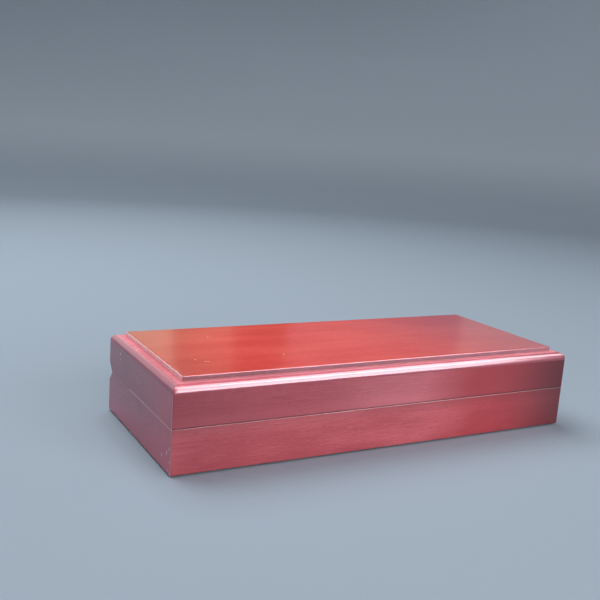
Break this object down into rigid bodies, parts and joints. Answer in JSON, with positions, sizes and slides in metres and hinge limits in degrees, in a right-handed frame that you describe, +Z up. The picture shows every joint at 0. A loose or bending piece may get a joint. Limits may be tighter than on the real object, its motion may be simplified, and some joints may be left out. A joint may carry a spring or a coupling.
{
  "type": "game piece box",
  "caption": "Long low hinged wooden box with a moulded, raised lid, fine seam, lined inside, hinged along a relief groove at the back.",
  "frame": {"origin": "middle of the underside, on the surface that the case stands on", "axes": "+X along the case, +Y towards the hinged back, +Z up through the lid"},
  "size_m": [0.24, 0.1, 0.046],
  "materials": {
    "stained_wood": "red mahogany stain under satin lacquer",
    "floor_ply": "sanded birch plywood",
    "spline_wood": "plain beech",
    "baize": "napped wool baize over card",
    "underlay_felt": "pressed felt",
    "hinge_brass": "pressed and tumbled",
    "magnet_nickel": "nickel plated"
  },
  "bodies": {
    "base": {"base_front_wall": "stained_wood", "base_back_wall": "stained_wood", "base_left_wall": "stained_wood", "base_right_wall": "stained_wood", "base_floor": "floor_ply", "base_corner_splines": "spline_wood", "base_underlay": "underlay_felt", "base_front_lining": "baize", "base_back_lining": "baize", "base_left_lining": "baize", "base_right_lining": "baize", "base_floor_pad": "baize", "base_magnet_left": "magnet_nickel", "base_magnet_right": "magnet_nickel", "hinge_left_base_leaf": "hinge_brass", "hinge_left_pin": "hinge_brass", "hinge_right_base_leaf": "hinge_brass", "hinge_right_pin": "hinge_brass", "base_hinge_screws": "hinge_brass"},
    "lid": {"lid_front_wall": "stained_wood", "lid_back_wall": "stained_wood", "lid_left_wall": "stained_wood", "lid_right_wall": "stained_wood", "lid_board": "stained_wood", "lid_corner_splines": "spline_wood", "lid_front_lining": "baize", "lid_back_lining": "baize", "lid_left_lining": "baize", "lid_right_lining": "baize", "lid_top_pad": "baize", "lid_magnet_left": "magnet_nickel", "lid_magnet_right": "magnet_nickel", "hinge_left_lid_leaf": "hinge_brass", "hinge_right_lid_leaf": "hinge_brass", "lid_hinge_screws": "hinge_brass"}
  },
  "joints": [
    {"name": "lid_hinge", "type": "hinge", "parent": "base", "child": "lid", "pos_m": [0, 0.0457, 0.023], "axis": [-1, 0, 0], "range_deg": [0, 102]}
  ]
}
